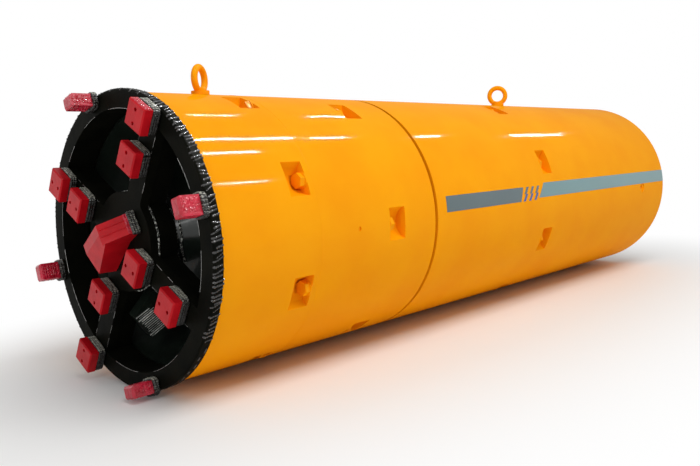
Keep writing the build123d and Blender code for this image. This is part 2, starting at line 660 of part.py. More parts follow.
# ---- service plate: hose and cable couplings ----
SERVICE_W = 420.0
SERVICE_T = 12.0
COUPLINGS = 6
COUPLING_PITCH = 64.0
COUPLING_AF = 40.0
COUPLING_NUT = 24.0
COUPLING_R = 15.0
COUPLING_L = 60.0
PLATE_REAR = WALL_REAR + SEAT + SERVICE_T
with BuildPart() as service_plate:
    with BuildSketch(across(PLATE_REAR)):
        with Locations((0, SERVICE_UP)):
            RectangleRounded(SERVICE_W, SERVICE_H, SERVICE_T)
    extrude(amount=SERVICE_T)
save(service_plate, "service_plate")
with BuildPart() as couplings:
    with BuildSketch(across(PLATE_REAR + SEAT + COUPLING_NUT)):
        with Locations((0, SERVICE_UP)):
            with GridLocations(COUPLING_PITCH, 1, COUPLINGS, 1):
                RegularPolygon(COUPLING_AF / 2, 6, major_radius=False)
    extrude(amount=COUPLING_NUT)
    with BuildSketch(across(PLATE_REAR + SEAT + COUPLING_L)):
        with Locations((0, SERVICE_UP)):
            with GridLocations(COUPLING_PITCH, 1, COUPLINGS, 1):
                Circle(COUPLING_R)
    extrude(amount=COUPLING_L - COUPLING_NUT)
save(couplings, "service_couplings")

# ---- power pack: hydraulic unit and tank as one block on saddles ----
PACK_BEHIND = 326.0         # its front end behind the steering joint
PACK_FRONT = JOINT + PACK_BEHIND
PACK_INSET = 270.0          # its rear end ahead of the rear bulkhead
PACK_REAR = WALL - PACK_INSET
PACK_W = 400.0
PACK_H = 290.0
PACK_LIFT = 115.0           # its underside above the lowest line of the bore
PACK_LOW = PACK_LIFT - BORE_R
with BuildPart() as power:
    with BuildSketch(across(PACK_REAR)):
        with Locations((0, PACK_LOW + PACK_H / 2)):
            Rectangle(PACK_W, PACK_H)
    extrude(amount=PACK_REAR - PACK_FRONT)
save(power, "power_pack")

SADDLE_T = 40.0
SADDLE_INSET = 100.0        # end saddles in from the pack's ends
SADDLE_PAST = 95.0          # middle saddle's rear face behind the rear seam
SADDLES = [PACK_FRONT + SADDLE_INSET + SADDLE_T, SEAM_3 + SADDLE_PAST, PACK_REAR - SADDLE_INSET]
with BuildPart() as saddles:
    for station in SADDLES:
        with BuildSketch(across(station)):
            Circle(BORE_R - SEAT)
            with Locations((0, PACK_LOW - SEAT + BORE_R)):
                Rectangle(2 * BORE_R, 2 * BORE_R, mode=Mode.SUBTRACT)
        extrude(amount=SADDLE_T)
save(saddles, "power_saddles")
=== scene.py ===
# %% [markdown]
# # A pipe-jacking tunnel boring machine
# This file dresses a machine that was built as solids. The solids arrive as a fixed
# frame in metres: +X is the driving direction, +Y the machine's left, +Z up, floor at 0.
# Nothing here moves or resizes a solid. It gets a finish, and finer pieces are laid on it.

# %% Load the solids
import json
import math
import random

import bmesh
import bpy
from mathutils import Matrix, Vector


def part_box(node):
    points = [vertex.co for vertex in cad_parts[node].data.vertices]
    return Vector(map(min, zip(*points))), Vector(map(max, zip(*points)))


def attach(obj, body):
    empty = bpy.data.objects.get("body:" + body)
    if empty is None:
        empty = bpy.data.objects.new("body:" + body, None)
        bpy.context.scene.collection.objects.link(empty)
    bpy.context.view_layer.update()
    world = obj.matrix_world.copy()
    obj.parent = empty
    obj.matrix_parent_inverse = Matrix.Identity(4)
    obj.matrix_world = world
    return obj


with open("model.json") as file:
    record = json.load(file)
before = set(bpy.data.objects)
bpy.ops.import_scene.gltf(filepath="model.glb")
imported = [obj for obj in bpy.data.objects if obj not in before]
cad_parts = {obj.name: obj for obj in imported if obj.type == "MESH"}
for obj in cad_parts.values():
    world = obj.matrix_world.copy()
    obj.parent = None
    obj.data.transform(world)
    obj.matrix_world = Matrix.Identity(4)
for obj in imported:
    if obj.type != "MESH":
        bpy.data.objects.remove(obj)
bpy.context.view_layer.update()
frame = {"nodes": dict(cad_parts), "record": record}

solids = frame["nodes"]
random.seed(7)

# %% [markdown]
# ## Measures
# A *station* is the distance behind the shield's front edge, and an *angle* is measured
# round the axis, from the left side up over the top. Three sizes are read from the solids'
# boxes, and the rest of this file works from them in millimetres.

# %% Measures of the shield
skin_low, skin_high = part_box("front_skin")
rim_low, rim_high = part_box("wheel_rim")
MM = 0.001
EDGE_X = skin_high.x
AXIS_Z = (skin_high.z + skin_low.z) / 2
SKIN_R = (skin_high.y - skin_low.y) / 2 / MM
WHEEL_R = (rim_high.y - rim_low.y) / 2 / MM
RIM_FACE = (rim_high.x - EDGE_X) / MM
TAIL = (EDGE_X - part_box("tail_skin")[0].x) / MM


def spot(station, angle, radius, sideways=0.0):
    """A point: behind the front edge, out from the axis at an angle, and sideways from there."""
    turn = math.radians(angle)
    y = radius * math.cos(turn) - sideways * math.sin(turn)
    z = radius * math.sin(turn) + sideways * math.cos(turn)
    return Vector((EDGE_X - station * MM, y * MM, AXIS_Z + z * MM))


print("skin radius", round(SKIN_R, 1), "wheel radius", round(WHEEL_R, 1), "tail at", round(TAIL))

# %% [markdown]
# ## Camera
# The camera stands ahead of the wheel on the machine's left, about two and a half metres
# from the cutting wheel. It looks 6 degrees down and leans a little over. A lens of 37.65 mm
# on a 36 mm wide sensor gives the strong narrowing toward the tail.

# %% Camera
CAMERA_AT = spot(0, 0, 0) + SKIN_R * MM * Vector((2.5708, 4.5021, 0.5132))
bpy.ops.object.camera_add(location=CAMERA_AT)
camera = bpy.context.object
camera.name = "viewpoint"
heading = Matrix.Rotation(math.radians(133.76), 4, "Z")
tilt = Matrix.Rotation(math.radians(90 - 6.0), 4, "X")
lean = Matrix.Rotation(math.radians(-2.38), 4, "Z")
camera.matrix_world = Matrix.Translation(CAMERA_AT) @ heading @ tilt @ lean
camera.data.lens = 37.65
camera.data.sensor_width = 36.0
camera.data.clip_end = 60.0
bpy.context.scene.camera = camera
bpy.context.scene.view_settings.view_transform = "Standard"
print("camera at", [round(c, 3) for c in CAMERA_AT])

# %% [markdown]
# ## Node helpers
# Colours are written as the hex values a painter reads off a screen. Blender's sockets want
# linear light, so one function turns them. One small function adds a node.


# %% Node helpers
def linear(hex_colour):
    """An sRGB hex colour as the linear RGBA that Blender's sockets take."""
    parts = [int(hex_colour[i:i + 2], 16) / 255 for i in (1, 3, 5)]
    return [p / 12.92 if p <= 0.04045 else ((p + 0.055) / 1.055) ** 2.4 for p in parts] + [1.0]


def add_node(tree, kind, inputs=None, **settings):
    """Adds a node, sets its settings, and sets or links its inputs."""
    made = tree.nodes.new(kind)
    for name, value in settings.items():
        setattr(made, name, value)
    for name, value in (inputs or {}).items():
        if isinstance(value, bpy.types.NodeSocket):
            tree.links.new(value, made.inputs[name])
        else:
            made.inputs[name].default_value = value
    return made


def new_material(name):
    """An empty node material: returns it, its tree and the Object coordinates."""
    made = bpy.data.materials.new(name)
    made.use_nodes = True
    made.node_tree.nodes.clear()
    where = add_node(made.node_tree, "ShaderNodeTexCoord")
    return made, made.node_tree, where.outputs["Object"]


def finish_material(made, shader):
    """Links a shader to the material's output."""
    add_node(made.node_tree, "ShaderNodeOutputMaterial", {"Surface": shader.outputs[0]})
    return made


# %% [markdown]
# ## Paint
# The shield wears a thick coat of glossy two-pack enamel. Sprayed enamel shows three things:
# a slow change of tone, a soft ripple where the rolled plate isn't quite round, and a fine
# orange peel. Each is a noise with a size in millimetres. Real orange peel is 1 to 3 mm
# across, and it is drawn at 6 mm here, because finer wouldn't show. The clear top coat gives
# the sharp gloss. The wheel's black is duller and the stripes are smooth, as they are films.


# %% Enamel
TONE_SIZE = 1.8


def enamel(name, hex_colour, hex_shade, roughness=0.3, coat=0.6, peel=0.06, peel_size=6.0,
           ripple=0.6, ripple_size=250.0, specular=0.5):
    """Sprayed enamel. Depth and size of the peel and of the ripple are in millimetres."""
    made, tree, where = new_material(name)
    tone = add_node(tree, "ShaderNodeTexNoise", {
        "Vector": where, "Scale": 1 / (TONE_SIZE * ripple_size * MM), "Detail": 4.0})
    colour = add_node(tree, "ShaderNodeValToRGB", {"Fac": tone.outputs["Fac"]})
    colour.color_ramp.elements[0].position = 0.35
    colour.color_ramp.elements[0].color = linear(hex_shade)
    colour.color_ramp.elements[1].position = 0.65
    colour.color_ramp.elements[1].color = linear(hex_colour)
    waves = add_node(tree, "ShaderNodeTexNoise", {
        "Vector": where, "Scale": 1 / (ripple_size * MM), "Detail": 2.0})
    rippled = add_node(tree, "ShaderNodeBump", {
        "Height": waves.outputs["Fac"], "Strength": 1.0, "Distance": ripple * MM})
    skin = add_node(tree, "ShaderNodeTexNoise", {
        "Vector": where, "Scale": 1 / (peel_size * MM), "Detail": 2.0})
    peeled = add_node(tree, "ShaderNodeBump", {
        "Height": skin.outputs["Fac"], "Strength": 1.0, "Distance": peel * MM, "Normal": rippled.outputs[0]})
    shader = add_node(tree, "ShaderNodeBsdfPrincipled", {
        "Base Color": colour.outputs["Color"], "Roughness": roughness, "IOR": 1.5,
        "Specular IOR Level": specular, "Coat Weight": coat, "Coat Roughness": 0.06, "Coat IOR": 1.5,
        "Normal": peeled.outputs[0]})
    return finish_material(made, shader)


yellow = enamel("shield_enamel_yellow", "#FFA70A", "#FC9F08", roughness=0.4, coat=0.09, specular=0.0,
                ripple=1.5, ripple_size=130)
black = enamel("wheel_enamel_black", "#13130E", "#0C0D0A", roughness=0.45, coat=0.0, specular=0.015,
               peel=0.25, ripple=1.2, ripple_size=45)
red = enamel("bit_enamel_red", "#C8141F", "#B60E1A", roughness=0.35, coat=0.05, specular=0.12,
             peel=0.25, ripple=0.8, ripple_size=30)
grey = enamel("bulkhead_enamel_grey", "#9DA4A3", "#929A99", roughness=0.4, coat=0.2)
dark_grey = enamel("drive_enamel_grey", "#5C6064", "#53575B", roughness=0.45, coat=0.2)
blue = enamel("feed_enamel_blue", "#1E4A82", "#1A4276", roughness=0.3, coat=0.5)
stripe_dark = enamel("stripe_film_slate", "#4E6165", "#495B5F", roughness=0.35, coat=0.3, peel=0.02)
stripe_teal = enamel("stripe_film_teal", "#668C8F", "#608688", roughness=0.35, coat=0.3, peel=0.02)
stripe_blue = enamel("stripe_film_blue", "#2C4C8C", "#284682", roughness=0.35, coat=0.3, peel=0.02)
print("enamels:", [m.name for m in (yellow, black, red, grey, dark_grey, blue)])

# %% [markdown]
# Weld metal that was painted over keeps its scales, so its paint is glossier and much
# rougher in shape than on plate: thousands of small curved faces throw back sparks of light.
# The crusher's enamel is greener and wetter than the wheel's. A pale crust on the ribs'
# crowns is a painted highlight that stands in for the bright streaks they reflect.

# %% Painted weld metal
chamber = enamel("chamber_enamel_black", "#1C241E", "#121814", roughness=0.3, coat=0.4, specular=0.3,
                 peel=0.5, ripple=2.5, ripple_size=60)
black_weld = enamel("weld_enamel_black", "#15120F", "#0C0B0A", roughness=0.22, coat=0.5,
                    peel=0.8, peel_size=5, ripple=1.5, ripple_size=14)
red_weld = enamel("weld_enamel_red", "#D0203E", "#B01428", roughness=0.35, coat=0.35, specular=0.3,
                  peel=1.2, peel_size=7, ripple=3.0, ripple_size=16)
# Painted highlight: a pale crust that stands in for the bright streaks on the rib crowns.
painted_crown_highlight = enamel("painted_crown_highlight_rib_crust", "#EEF0EA", "#A8ACA6", peel=0.5, peel_size=4, ripple=1.0, ripple_size=12)
print("weld enamels:", [m.name for m in (chamber, black_weld, red_weld, painted_crown_highlight)])

# %% [markdown]
# In the crusher, small bright flecks stand in the black of the weld metal. They are painted
# glints, painted highlights of its shiny scales, so each fleck is a spot of noise above a level.

# %% Weld metal with painted glints
WELD_BLACK = "#14120F"


def crust(tree, height, mask, hex_top, strength, depth):
    """Weld metal, black where the mask is 0 and another colour where it is 1. Depth in millimetres."""
    colour = add_node(tree, "ShaderNodeMix", {"Factor": mask}, data_type="RGBA")
    colour.inputs["A"].default_value = linear(WELD_BLACK)
    colour.inputs["B"].default_value = linear(hex_top)
    grain = add_node(tree, "ShaderNodeBump", {"Height": height, "Strength": strength, "Distance": depth * MM})
    return add_node(tree, "ShaderNodeBsdfPrincipled", {
        "Base Color": colour.outputs["Result"], "Roughness": 0.3, "Specular IOR Level": 0.5,
        "Normal": grain.outputs[0]})


made, tree, where = new_material("painted_glint_weld_metal")
glint_noise = add_node(tree, "ShaderNodeTexNoise", {
    "Vector": where, "Scale": 1 / (7 * MM), "Detail": 3.0, "Roughness": 0.7}).outputs["Fac"]
# Painted highlight: noise above a level paints small pale glints on the black weld.
painted_glint = add_node(tree, "ShaderNodeMapRange", {"Value": glint_noise, "From Min": 0.53, "From Max": 0.58})
painted_glint_weld = finish_material(made, crust(tree, glint_noise, painted_glint.outputs[0], "#D2D6CC", 0.8, 1.0))
print("made", painted_glint_weld.name)

# %% [markdown]
# Welds that were brushed with paint from the front carry a pale grey-green crust on their
# upper sides, which is painted top light. The surface's own direction decides where it lies.

# %% Weld metal with painted top light
made, tree, where = new_material("painted_top_light_weld_metal")
facing = add_node(tree, "ShaderNodeNewGeometry")
parts = add_node(tree, "ShaderNodeSeparateXYZ", {0: facing.outputs["Normal"]})
patches = add_node(tree, "ShaderNodeTexNoise", {
    "Vector": where, "Scale": 1 / (9 * MM), "Detail": 3.0}).outputs["Fac"]
# Painted top light: faces turned up get the pale crust, broken up by noise.
upward_patches = add_node(tree, "ShaderNodeMath", {0: parts.outputs["Z"], 1: patches}, operation="MULTIPLY")
cover = add_node(tree, "ShaderNodeMapRange", {
    "Value": upward_patches.outputs[0], "From Min": 0.22, "From Max": 0.45})
painted_top_light_weld = finish_material(made, crust(tree, patches, cover.outputs[0], "#A2A294", 1.0, 1.2))
print("made", painted_top_light_weld.name)

# %% [markdown]
# ## Bare metals
# Machined steel shows fine turning marks, and brass the same in a warmer colour. The marks
# are drawn 4 mm wide, because real ones wouldn't show. Both keep the default index of
# refraction, because a metal's gloss comes from its colour.


# %% Metals
MARK_SIZE = 4.0
MARK_DEPTH = 0.3
ROUGH_SPREAD = 0.08


def bare_metal(name, hex_colour, roughness):
    """Bare metal with machining marks."""
    made, tree, where = new_material(name)
    marks = add_node(tree, "ShaderNodeTexNoise", {
        "Vector": where, "Scale": 1 / (MARK_SIZE * MM), "Detail": 4.0}).outputs["Fac"]
    rough = add_node(tree, "ShaderNodeMapRange", {
        "Value": marks, "To Min": roughness - ROUGH_SPREAD, "To Max": roughness + ROUGH_SPREAD})
    bump = add_node(tree, "ShaderNodeBump", {"Height": marks, "Strength": 0.4, "Distance": MARK_DEPTH * MM})
    shader = add_node(tree, "ShaderNodeBsdfPrincipled", {
        "Base Color": linear(hex_colour), "Metallic": 1.0, "Roughness": rough.outputs[0],
        "Normal": bump.outputs[0]})
    return finish_material(made, shader)


steel = bare_metal("machined_steel", "#B4B4B2", 0.35)
brass = bare_metal("coupling_brass", "#C8A050", 0.3)
print("metals:", steel.name, brass.name)

# %% [markdown]
# The laser window is thick smoked glass, which looks nearly black from outside.

# %% Glass
made, tree, where = new_material("smoked_glass")
shader = add_node(tree, "ShaderNodeBsdfPrincipled", {
    "Base Color": linear("#1A2426"), "Roughness": 0.05, "IOR": 1.5, "Coat Weight": 1.0,
    "Coat Roughness": 0.02})
glass = finish_material(made, shader)
print("made", glass.name)

# %% [markdown]
# ## Finishes of the solids
# Every solid names a material slot in its record. One table says which finish each slot gets.

# %% Assign finishes
FINISHES = {
    "shield_yellow": yellow, "bolt_yellow": yellow, "eye_yellow": yellow, "hatch_yellow": yellow,
    "wheel_black": black, "chamber_black": chamber, "bit_red": red, "holder_steel": black,
    "bare_steel": steel, "coupling_brass": brass, "port_glass": glass, "drive_grey": dark_grey,
    "bulkhead_grey": grey, "pipe_blue": blue, "pipe_grey": dark_grey,
}
for part in frame["record"]["subparts"]:
    solid = solids[part["node"]]
    solid.data.materials.clear()
    solid.data.materials.append(FINISHES[part["material_slot"]])

# The crusher shines under its coat, and the gauge bits are buttered with weld metal.
for node, made in (("crusher_arms", chamber), ("crusher_cone", chamber), ("gauge_bits", red_weld)):
    solids[node].data.materials[0] = made

# %% [markdown]
# ## Hand tools
# These are the few steps that every new piece shares. First everything is deselected,
# because an operator acts on all that is selected.


# %% Start and finish a piece
def only(piece):
    """Selects one piece and nothing else."""
    bpy.ops.object.select_all(action="DESELECT")
    piece.select_set(True)
    bpy.context.view_layer.objects.active = piece


def select_faces(piece, wanted):
    """In edit mode, selects the faces for which wanted(face) is true."""
    bpy.ops.mesh.select_mode(type="FACE")
    bpy.ops.mesh.select_all(action="DESELECT")
    shape = bmesh.from_edit_mesh(piece.data)
    for face in shape.faces:
        face.select_set(bool(wanted(face)))
    bmesh.update_edit_mesh(piece.data)


def apply_modifiers(piece):
    """Applies every modifier in its order."""
    only(piece)
    for modifier in list(piece.modifiers):
        bpy.ops.object.modifier_apply(modifier=modifier.name)


def finish_piece(piece, name, material, body, smooth=35):
    """Freezes a piece's place into its mesh, and gives it its finish and its body."""
    only(piece)
    bpy.ops.object.transform_apply(location=True, rotation=True, scale=True)
    bpy.ops.object.shade_smooth_by_angle(angle=math.radians(smooth))
    piece.name = name
    piece.data.materials.clear()
    piece.data.materials.append(material)
    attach(piece, body)
    print(name, len(piece.data.polygons), "faces")


def join(pieces):
    """Joins several pieces into the first one."""
    only(pieces[0])
    for piece in pieces[1:]:
        piece.select_set(True)
    bpy.ops.object.join()
    return pieces[0]


# %% [markdown]
# ## Side stripe
# A slate and teal stripe of sprayed film runs along each flank. It is cut from a thin
# tube round the skin: planes slice away what isn't stripe, which keeps the curve exact and
# gives slanted ends for free. A little thickness then lifts the film off the skin.


# %% Stripe helper
STRIPE_OFF = 0.7
FILM_THICK = 0.4
SPARE = 200


def slice_off(piece, point, direction):
    """Cuts the piece with a plane and throws away the side that the direction points to."""
    only(piece)
    bpy.ops.object.mode_set(mode="EDIT")
    bpy.ops.mesh.select_all(action="SELECT")
    bpy.ops.mesh.bisect(plane_co=point, plane_no=direction, clear_outer=True)
    bpy.ops.object.mode_set(mode="OBJECT")


def film(side, front, rear, low, high, front_slant, rear_slant):
    """A strip of film between two stations and two heights; slants move the upper end back."""
    bpy.ops.mesh.primitive_cylinder_add(
        vertices=288, radius=(SKIN_R + STRIPE_OFF) * MM, depth=(rear - front + SPARE) * MM,
        end_fill_type="NOTHING", location=spot((front + rear) / 2, 0, 0), rotation=(0, math.radians(90), 0))
    strip = bpy.context.object
    bpy.ops.object.transform_apply(location=True, rotation=True, scale=True)
    slice_off(strip, spot(0, 0, 0), (0, -side, 0))
    slice_off(strip, spot(0, 90, low), (0, 0, -1))
    slice_off(strip, spot(0, 90, high), (0, 0, 1))
    rise = (high - low) * MM
    slice_off(strip, spot(front, 90, low), (rise, 0, front_slant * MM))
    slice_off(strip, spot(rear, 90, low), (-rise, 0, -rear_slant * MM))
    strip.modifiers.new("thickness", "SOLIDIFY").thickness = FILM_THICK * MM
    apply_modifiers(strip)
    return strip


# %% Stripe
LOW, HIGH = 14, 78
SPLIT = (LOW + HIGH) / 2
BAR_FRONT, BAR_REAR, BAR_SLANT = 1093, 1657, 27
TAIL_LOW, TAIL_HIGH = 22, 89
TAIL_FRONT, TAIL_SLANT = 1818, 54
SLASH_FRONT, SLASH_PITCH, SLASHES = 1676, 48, 3
SLASH_W, SLASH_STEP, SLASH_SLANT = 20, 12, 25
for side, flank in ((1, "left"), (-1, "right")):
    bar = film(side, BAR_FRONT, BAR_REAR, LOW, HIGH, 0, BAR_SLANT)
    finish_piece(bar, f"stripe_bar_{flank}", stripe_dark, "rear_shield")
    tail_bar = film(side, TAIL_FRONT, TAIL - 1, TAIL_LOW, TAIL_HIGH, TAIL_SLANT, 0)
    finish_piece(tail_bar, f"stripe_tail_bar_{flank}", stripe_teal, "rear_shield")
    upper = []
    lower = []
    for slash in range(SLASHES):
        foot = SLASH_FRONT + slash * SLASH_PITCH
        top = foot + SLASH_STEP
        lower.append(film(side, foot, foot + SLASH_W, LOW, SPLIT, SLASH_SLANT, SLASH_SLANT))
        upper.append(film(side, top, top + SLASH_W, SPLIT, HIGH, SLASH_SLANT, SLASH_SLANT))
    finish_piece(join(lower), f"stripe_slashes_low_{flank}", stripe_blue, "rear_shield")
    finish_piece(join(upper), f"stripe_slashes_high_{flank}", stripe_dark, "rear_shield")

# %% [markdown]
# ## Weld beads
# A hand-laid weld is a row of overlapping scales, like a stack of fallen coins. One scale
# is a squashed ball. An array repeats it along the bead, and a curve bends the row round
# the work. A little random movement of the points makes it look laid by hand.


# %% Bead helper
OVERLAP = 0.95


def guide(points, closed):
    """A guide curve through the points."""
    line = bpy.data.curves.new("guide", "CURVE")
    line.dimensions = "3D"
    line.twist_mode = "Z_UP"
    run = line.splines.new("POLY")
    run.points.add(len(points) - 1)
    for knot, point in zip(run.points, points):
        knot.co = (*point, 1.0)
    run.use_cyclic_u = closed
    path = bpy.data.objects.new("guide", line)
    bpy.context.collection.objects.link(path)
    return path


def lay_bead(points, width, pitch, closed=False, wander=0.08, slant=25):
    """A weld bead of round scales along the points. Sizes are in millimetres."""
    path = guide(points, closed)
    bpy.ops.object.select_all(action="DESELECT")
    bpy.ops.mesh.primitive_uv_sphere_add(segments=8, ring_count=5, radius=width / 2 * MM,
                                         rotation=(0, math.radians(90), 0))
    bead = bpy.context.object
    bpy.ops.object.transform_apply(location=True, rotation=True, scale=True)
    bpy.ops.object.mode_set(mode="EDIT")
    bpy.ops.mesh.select_all(action="SELECT")
    bpy.ops.transform.resize(value=(OVERLAP * pitch / (width / 2), 1.0, 1.0))
    bpy.ops.transform.rotate(value=math.radians(slant), orient_axis="Z", center_override=(0, 0, 0))
    bpy.ops.object.mode_set(mode="OBJECT")
    row = bead.modifiers.new("row", "ARRAY")
    row.fit_type = "FIT_CURVE"
    row.curve = path
    row.use_relative_offset = False
    row.use_constant_offset = True
    row.constant_offset_displace = (pitch * MM, 0, 0)
    bend = bead.modifiers.new("bend", "CURVE")
    bend.object = path
    apply_modifiers(bead)
    bpy.ops.object.mode_set(mode="EDIT")
    bpy.ops.mesh.select_all(action="SELECT")
    bpy.ops.transform.vertex_random(offset=wander * width * MM, seed=random.randrange(1, 1000))
    bpy.ops.object.mode_set(mode="OBJECT")
    bpy.data.objects.remove(path)
    return bead


def arc(station, radius, start, end, step=3.0):
    """Points along an arc round the axis."""
    count = max(2, round(abs(end - start) / step))
    return [spot(station, start + (end - start) * i / count, radius) for i in range(count + 1)]


# %% [markdown]
# ## Finding the work
# Beads are laid on the solids as they are. One helper touches a solid with a straight
# probe and gives the point that it meets. Another sorts a node into its separate lumps,
# such as the eight pads in one node. A Python set has no order of its own, so the lumps are
# put in order from right to left, and every run then lays the same beads on each.


# %% Probe and lumps
AHEAD = Vector((1, 0, 0))


def touch(node, start, direction):
    """Where a probe from the start meets a solid, or None."""
    hit, point, normal, face = solids[node].ray_cast(start, direction)
    return point.copy() if hit else None


def lumps(node):
    """The separate solids of a node, from right to left, each as a list of its points."""
    shape = bmesh.new()
    shape.from_mesh(solids[node].data)
    bmesh.ops.remove_doubles(shape, verts=shape.verts, dist=1e-6)
    left = set(shape.verts)
    found = []
    while left:
        stack = [left.pop()]
        points = []
        while stack:
            vertex = stack.pop()
            points.append(vertex.co.copy())
            for edge in vertex.link_edges:
                other = edge.other_vert(vertex)
                if other in left:
                    left.remove(other)
                    stack.append(other)
        found.append(points)
    shape.free()
    return sorted(found, key=lambda points: min(point.y for point in points))


def reach(points, direction):
    """The lowest and highest reach of points along a direction, in millimetres from the axis."""
    measured = [(point - spot(0, 0, 0)).dot(direction) / MM for point in points]
    return min(measured), max(measured)


def way_out(angle):
    """The direction out from the axis at an angle, and the direction round it."""
    turn = math.radians(angle)
    return Vector((0, math.cos(turn), math.sin(turn))), Vector((0, -math.sin(turn), math.cos(turn)))


def angle_of(points):
    """The angle of a lump's middle round the axis."""
    across = [sum(reach(points, axis)) / 2 for axis in (Vector((0, 1, 0)), Vector((0, 0, 1)))]
    return math.degrees(math.atan2(across[1], across[0]))


print("pads", len(lumps("scraper_holders")), "gauge bits", len(lumps("gauge_bits")))

# %% [markdown]
# ## Hardfacing on the wheel's rim
# Soil grinds along the rim's outer band, so a welder lays short beads of hard metal across
# it, side by side all round. A few strokes are modelled, and copies of them are turned
# round the axis.


# %% Copies round the axis
def turned_copy(piece, angle):
    """A copy with its own mesh, turned round the machine's axis."""
    copy = piece.copy()
    copy.data = piece.data.copy()
    bpy.context.collection.objects.link(copy)
    centre = Matrix.Translation(spot(0, 0, 0))
    copy.data.transform(centre @ Matrix.Rotation(math.radians(angle), 4, "X") @ centre.inverted())
    return copy


# %% Rim hardfacing
BAND_FRONT, BAND_REAR = -RIM_FACE + 4, -4
BAND_R = WHEEL_R - 4.2
BAND_START, BAND_END = -34.0, 236.0
patterns = []
for pattern in range(8):
    first = spot(BAND_FRONT + random.uniform(0, 9), 0, BAND_R)
    last = spot(BAND_REAR - random.uniform(0, 5), 0, BAND_R, random.uniform(-4, 14))
    patterns.append(lay_bead([first, last], random.uniform(9, 12), 7.0, wander=0.07))
strokes = []
angle = BAND_START
while angle < BAND_END:
    strokes.append(turned_copy(random.choice(patterns), angle))
    angle += random.uniform(1.1, 2.3)
for pattern in patterns:
    bpy.data.objects.remove(pattern)
finish_piece(join(strokes), "rim_hardfacing", black_weld, "cutting_wheel")

# %% [markdown]
# Lower down the band was welded less: it has only short stitches along it, with gaps.

# %% Rim stitches
stitches = []
for stitch in range(10):
    angle = -38 - stitch * 4.4
    run = arc(random.uniform(-26, -10), WHEEL_R - 1.5, angle, angle - random.uniform(1.4, 2.4), 0.6)
    stitches.append(lay_bead(run, 6.5, 4.0))
finish_piece(join(stitches), "rim_stitches", black_weld, "cutting_wheel")

# %% [markdown]
# ## Welds round the scraper bits
# Each scraper bit is screwed to a pad, and the pad is welded to its spoke by three passes,
# one over another. The passes are closed beads that follow the pad's outline. Their upper
# sides carry a pale painted highlight that stands in for the light from above.


# %% Outline beads
def outline(points, angle, station, grow, corner=14, step=3):
    """A rounded rectangle round a lump at a station, a little larger than the lump."""
    out, round_way = way_out(angle)
    low_out, high_out = reach(points, out)
    low_round, high_round = reach(points, round_way)
    half_out = (high_out - low_out) / 2 + grow
    half_round = (high_round - low_round) / 2 + grow
    across = out * (low_out + high_out) + round_way * (low_round + high_round)
    middle = spot(station, 0, 0) + across / 2 * MM
    line = []
    for quarter, (a, b) in enumerate(((1, 1), (-1, 1), (-1, -1), (1, -1))):
        for i in range(step + 1):
            turn = math.radians(90 * quarter + 90 * i / step)
            along_out = a * (half_out - corner) + corner * math.cos(turn)
            along_round = b * (half_round - corner) + corner * math.sin(turn)
            line.append(middle + (out * along_out + round_way * along_round) * MM)
    return line


# %% Pad welds
SPOKE_ANGLE = 60.5
PASSES = (-47, -55, -63)


def spoke_of(lump):
    """The angle of the spoke that a lump sits on."""
    return SPOKE_ANGLE + 90 * round((angle_of(lump) - SPOKE_ANGLE) / 90)


pad_beads = []
for pad in lumps("scraper_holders"):
    for station in PASSES:
        pad_beads.append(lay_bead(outline(pad, spoke_of(pad), station, 2.0), 12.5, 6.5, closed=True, wander=0.06))
finish_piece(join(pad_beads), "pad_welds", painted_top_light_weld, "cutting_wheel")

# %% [markdown]
# ## Welds and hardfacing of the gauge bits
# The gauge bits cut just outside the shield. They wear fastest, so they are buttered all
# over with weld metal, and the weld that holds each one is a thick black collar.

# %% Gauge welds
collars = []
crusts = []
for bit in lumps("gauge_bits"):
    angle = angle_of(bit)
    for station in (-46, -55):
        collars.append(lay_bead(outline(bit, angle, station, 2.5), 15, 7, closed=True, wander=0.08))
    for station in range(-68, -131, -9):
        run = outline(bit, angle, station + random.uniform(-2, 2), -3.0, corner=8)
        crusts.append(lay_bead(run, 10, 8.5, closed=True, wander=0.2))
# The collars wear black weld metal with painted top light on their upper sides.
finish_piece(join(collars), "gauge_collars", painted_top_light_weld, "cutting_wheel")
finish_piece(join(crusts), "gauge_crusts", red_weld, "cutting_wheel")

# %% [markdown]
# ## Hardfacing of the outer scraper bits
# The two outermost scraper bits also rub on the ground, so their outer ends are buttered.

# %% Outer bit crusts
OUTER_REACH = 440
crusts = []
for bit in lumps("scraper_bits"):
    spoke = spoke_of(bit)
    out, round_way = way_out(spoke)
    low_out, high_out = reach(bit, out)
    low_round, high_round = reach(bit, round_way)
    if (low_out + high_out) / 2 < OUTER_REACH:
        continue
    for station in (-76, -83, -91):
        first = spot(station, spoke, high_out - 1, low_round + 8)
        last = spot(station, spoke, high_out - 1, high_round - 8)
        crusts.append(lay_bead([first, last], 9, 6, wander=0.14))
finish_piece(join(crusts), "outer_bit_crusts", red_weld, "cutting_wheel")

# %% [markdown]
# ## Centre bit
# The centre bit is a folded plate. Two ribs of hard metal run down its sloping half, and
# three passes of weld tie its root to the hub. The ribs and a collar of two beads are laid by
# touching the bit from the front with a row of probes.


# %% Beads on the centre bit
NOSE_ANGLE = 30


def on_front(node, places, lift):
    """Points on the front of a solid at places given as reach along and across an angle."""
    line = []
    for angle, along_out, along_round in places:
        point = touch(node, spot(-400, angle, along_out, along_round), -AHEAD)
        if point is not None:
            line.append(point + AHEAD * lift * MM)
    return line


